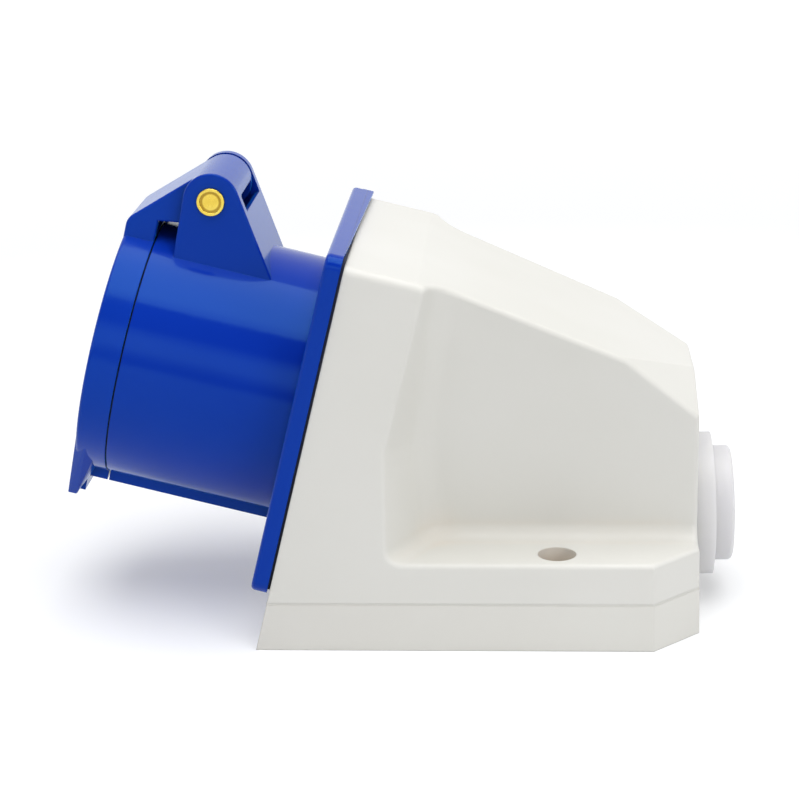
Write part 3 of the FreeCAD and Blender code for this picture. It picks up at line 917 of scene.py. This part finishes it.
@dataclass(frozen=True)
class RoomBand:
    """A level band of the room in front of the set, as glossy surfaces see it."""

    rise: Span
    fall: Span
    change: float

    def share(self, sketch: Sketch, height: Any) -> bpy.types.NodeSocket:
        """Give the band's change at a height.

        Args:
            sketch: The world's sketch.
            height: The socket of the direction's height, from -1 to 1.

        Returns:
            The socket of the change, which is nothing outside the band.
        """
        start = sketch.spread(height, *self.rise, 0.0, self.change)
        return sketch.maths("MULTIPLY", start, sketch.spread(height, *self.fall, 1.0, 0.0))


@dataclass
class Studio:
    """Pale floor, bright backdrop and soft lamps."""

    floor_half: float = 3.0
    floor_level: float = -0.05 * MM
    fill: float = 0.44
    floor_colour: Colour = srgb(228, 229, 231)
    floor_glow: float = 0.28
    far_glow: float = 0.8
    near_reach: float = 0.35
    far_reach: float = 1.1
    front_edge: Span = (-0.25, -0.1)
    upper_dim: RoomBand = RoomBand(rise=(0.5, 0.54), fall=(0.84, 0.87), change=0.95)
    lower_dim: RoomBand = RoomBand(rise=(-0.02, 0.02), fall=(0.1, 0.18), change=0.7)
    window: RoomBand = RoomBand(rise=(0.2, 0.24), fall=(0.42, 0.46), change=0.7)
    lamps: tuple[Softbox, ...] = (
        Softbox(
            name="top_softbox", place=(0.0, -0.18, 0.85), target=(0.0, -0.18, 0.0),
            width=0.9, height=0.84, power=6.7,
        ),
        Softbox(
            name="front_softbox", place=(0.6, -0.7, 0.3), target=(0.0, 0.0, 0.03),
            width=0.4, height=0.3, power=1.45,
        ),
    )

    def build(self) -> None:
        """Set up the floor, the world and the lamps."""
        self._floor()
        self._world()
        for lamp in self.lamps:
            lamp.build()
        view = bpy.context.scene.view_settings
        view.view_transform = "Standard"

    def _floor(self) -> None:
        """Lay the floor."""
        shape = bmesh.new()
        bmesh.ops.create_grid(shape, x_segments=1, y_segments=1, size=self.floor_half)
        bmesh.ops.translate(shape, verts=shape.verts, vec=(0.0, 0.0, self.floor_level))
        mesh = bpy.data.meshes.new("studio_floor")
        shape.to_mesh(mesh)
        shape.free()
        floor = bpy.data.objects.new("studio_floor", mesh)
        bpy.context.scene.collection.objects.link(floor)
        material = bpy.data.materials.new("studio_floor")
        material.use_nodes = True
        sketch = Sketch(material.node_tree)
        material.node_tree.nodes.clear()
        paper = sketch.node("BsdfDiffuse", {"Color": self.floor_colour})
        path = sketch.node("LightPath")
        seen = sketch.maths("MAXIMUM", path.outputs["Is Camera Ray"], path.outputs["Is Glossy Ray"])
        seen = sketch.maths("MAXIMUM", seen, path.outputs["Is Transmission Ray"])
        place = sketch.node("TexCoord").outputs["Object"]
        reach = sketch.node("VectorMath", {"Vector": place}, operation="LENGTH").outputs["Value"]
        level = sketch.spread(reach, self.near_reach, self.far_reach, self.floor_glow, self.far_glow)
        glow = sketch.node("Emission", {"Strength": sketch.maths("MULTIPLY", seen, level)})
        total = sketch.node("AddShader", {0: paper.outputs["BSDF"], 1: glow.outputs["Emission"]})
        sketch.node("OutputMaterial", {"Surface": total.outputs["Shader"]})
        mesh.materials.append(material)

    def _world(self) -> None:
        """Give the room a soft fill and a white backdrop."""
        world = bpy.data.worlds.new("studio")
        world.use_nodes = True
        bpy.context.scene.world = world
        sketch = Sketch(world.node_tree)
        world.node_tree.nodes.clear()
        path = sketch.node("LightPath")
        plain = sketch.maths("MAXIMUM", path.outputs["Is Camera Ray"], path.outputs["Is Transmission Ray"])
        mirror = sketch.maths("MULTIPLY", path.outputs["Is Glossy Ray"], self._room(sketch))
        seen = sketch.maths("MAXIMUM", plain, mirror)
        direct = sketch.maths("MAXIMUM", plain, path.outputs["Is Glossy Ray"])
        soft = sketch.maths("MULTIPLY", sketch.maths("SUBTRACT", 1.0, direct), self.fill)
        level = sketch.maths("ADD", soft, seen)
        sky = sketch.node("Background", {"Color": WHITE, "Strength": level})
        sketch.node("OutputWorld", {"Surface": sky.outputs["Background"]})

    def _room(self, sketch: Sketch) -> bpy.types.NodeSocket:
        """Give the brightness that glossy surfaces see in each direction.

        Args:
            sketch: The world's sketch.

        Returns:
            One for the white set, less in the dim bands of the room in front, more in its window.
        """
        place = sketch.node("TexCoord").outputs["Generated"]
        parts = sketch.node("SeparateXYZ", {"Vector": place})
        height = parts.outputs["Z"]
        facing = sketch.spread(parts.outputs["Y"], *self.front_edge, 1.0, 0.0)
        dim = sketch.maths("ADD", self.upper_dim.share(sketch, height), self.lower_dim.share(sketch, height))
        bands = sketch.maths("SUBTRACT", dim, self.window.share(sketch, height))
        return sketch.maths("SUBTRACT", 1.0, sketch.maths("MULTIPLY", facing, bands))


@dataclass(frozen=True)
class PhotoCamera:
    """The camera at the photograph's viewing angle."""

    place: Triple = (-0.005445, -0.399318, 0.161152)
    right: Triple = (0.99821473, 0.05644309, -0.01953287)
    up: Triple = (0.00220389, 0.29200337, 0.95641475)
    forward: Triple = (-0.05968666, 0.95475034, -0.29135767)
    lens: float = 95.889
    sensor: float = 36.0
    nearest: float = 0.01

    def build(self) -> None:
        """Place the camera and make it the scene's."""
        data = bpy.data.cameras.new("photo_camera")
        data.lens = self.lens
        data.sensor_width = self.sensor
        data.clip_start = self.nearest
        camera = bpy.data.objects.new("photo_camera", data)
        turn = Matrix((self.right, self.up, tuple(-part for part in self.forward))).transposed()
        camera.matrix_world = Matrix.Translation(self.place) @ turn.to_4x4()
        bpy.context.scene.collection.objects.link(camera)
        bpy.context.scene.camera = camera


def main() -> None:
    """Build the studio, the finishes and every sub-assembly."""
    logging.basicConfig(level=logging.INFO, format="%(message)s")
    Studio().build()
    PhotoCamera().build()
    effects = SharedEffects()
    materials = {slot: finish.build(effects) for slot, finish in FINISHES.items()}
    assemblies = (
        SubAssembly(
            "enclosure",
            {
                "housing": Slot.GREY_SHELL,
                "base_plate": Slot.GREY_BASE,
                "base_seal": Slot.BLACK_RUBBER,
                "cable_grommet": Slot.CLEAR_RUBBER,
                "housing_screws": Slot.SCREW_STEEL,
            },
            materials,
        ),
        SubAssembly(
            "socket",
            {
                "socket_body": Slot.BLUE_BODY,
                "flange_gasket": Slot.BLACK_RUBBER,
                "flange_screws": Slot.SCREW_STEEL,
                "hinge_pin": Slot.BRASS,
            },
            materials,
        ),
        SubAssembly(
            "lid",
            {"lid": Slot.BLUE_LID, "lid_seal": Slot.BLACK_RUBBER},
            materials,
        ),
        SubAssembly(
            "contacts",
            {
                "contact_carrier": Slot.DARK_INSERT,
                "carrier_plate": Slot.DARK_INSERT,
                "live_contact": Slot.BRASS,
                "neutral_contact": Slot.BRASS,
                "earth_contact": Slot.BRASS,
                "pole_rings": Slot.SPRING_STEEL,
                "earth_ring": Slot.SPRING_STEEL,
                "terminal_screws": Slot.SCREW_STEEL,
                "carrier_screws": Slot.SCREW_STEEL,
            },
            materials,
        ),
    )
    for assembly in assemblies:
        assembly.dress()
    LidSpring("lid spring", {}, materials).build()
    LidTongue("lid_tongue", Body.LID, Slot.BLUE_LID, materials).build()
    LidGusset("near_gusset", Body.LID, Slot.BLUE_LID, materials, side=-1.0).build()
    LidGusset("far_gusset", Body.LID, Slot.BLUE_LID, materials, side=1.0).build()
    FlangeLip("flange_lip", Body.ENCLOSURE, Slot.BLUE_BODY, materials).build()
    SeamLip("seam_lip", Body.ENCLOSURE, Slot.GREY_BASE, materials).build()


if __name__ == "__main__":
    main()
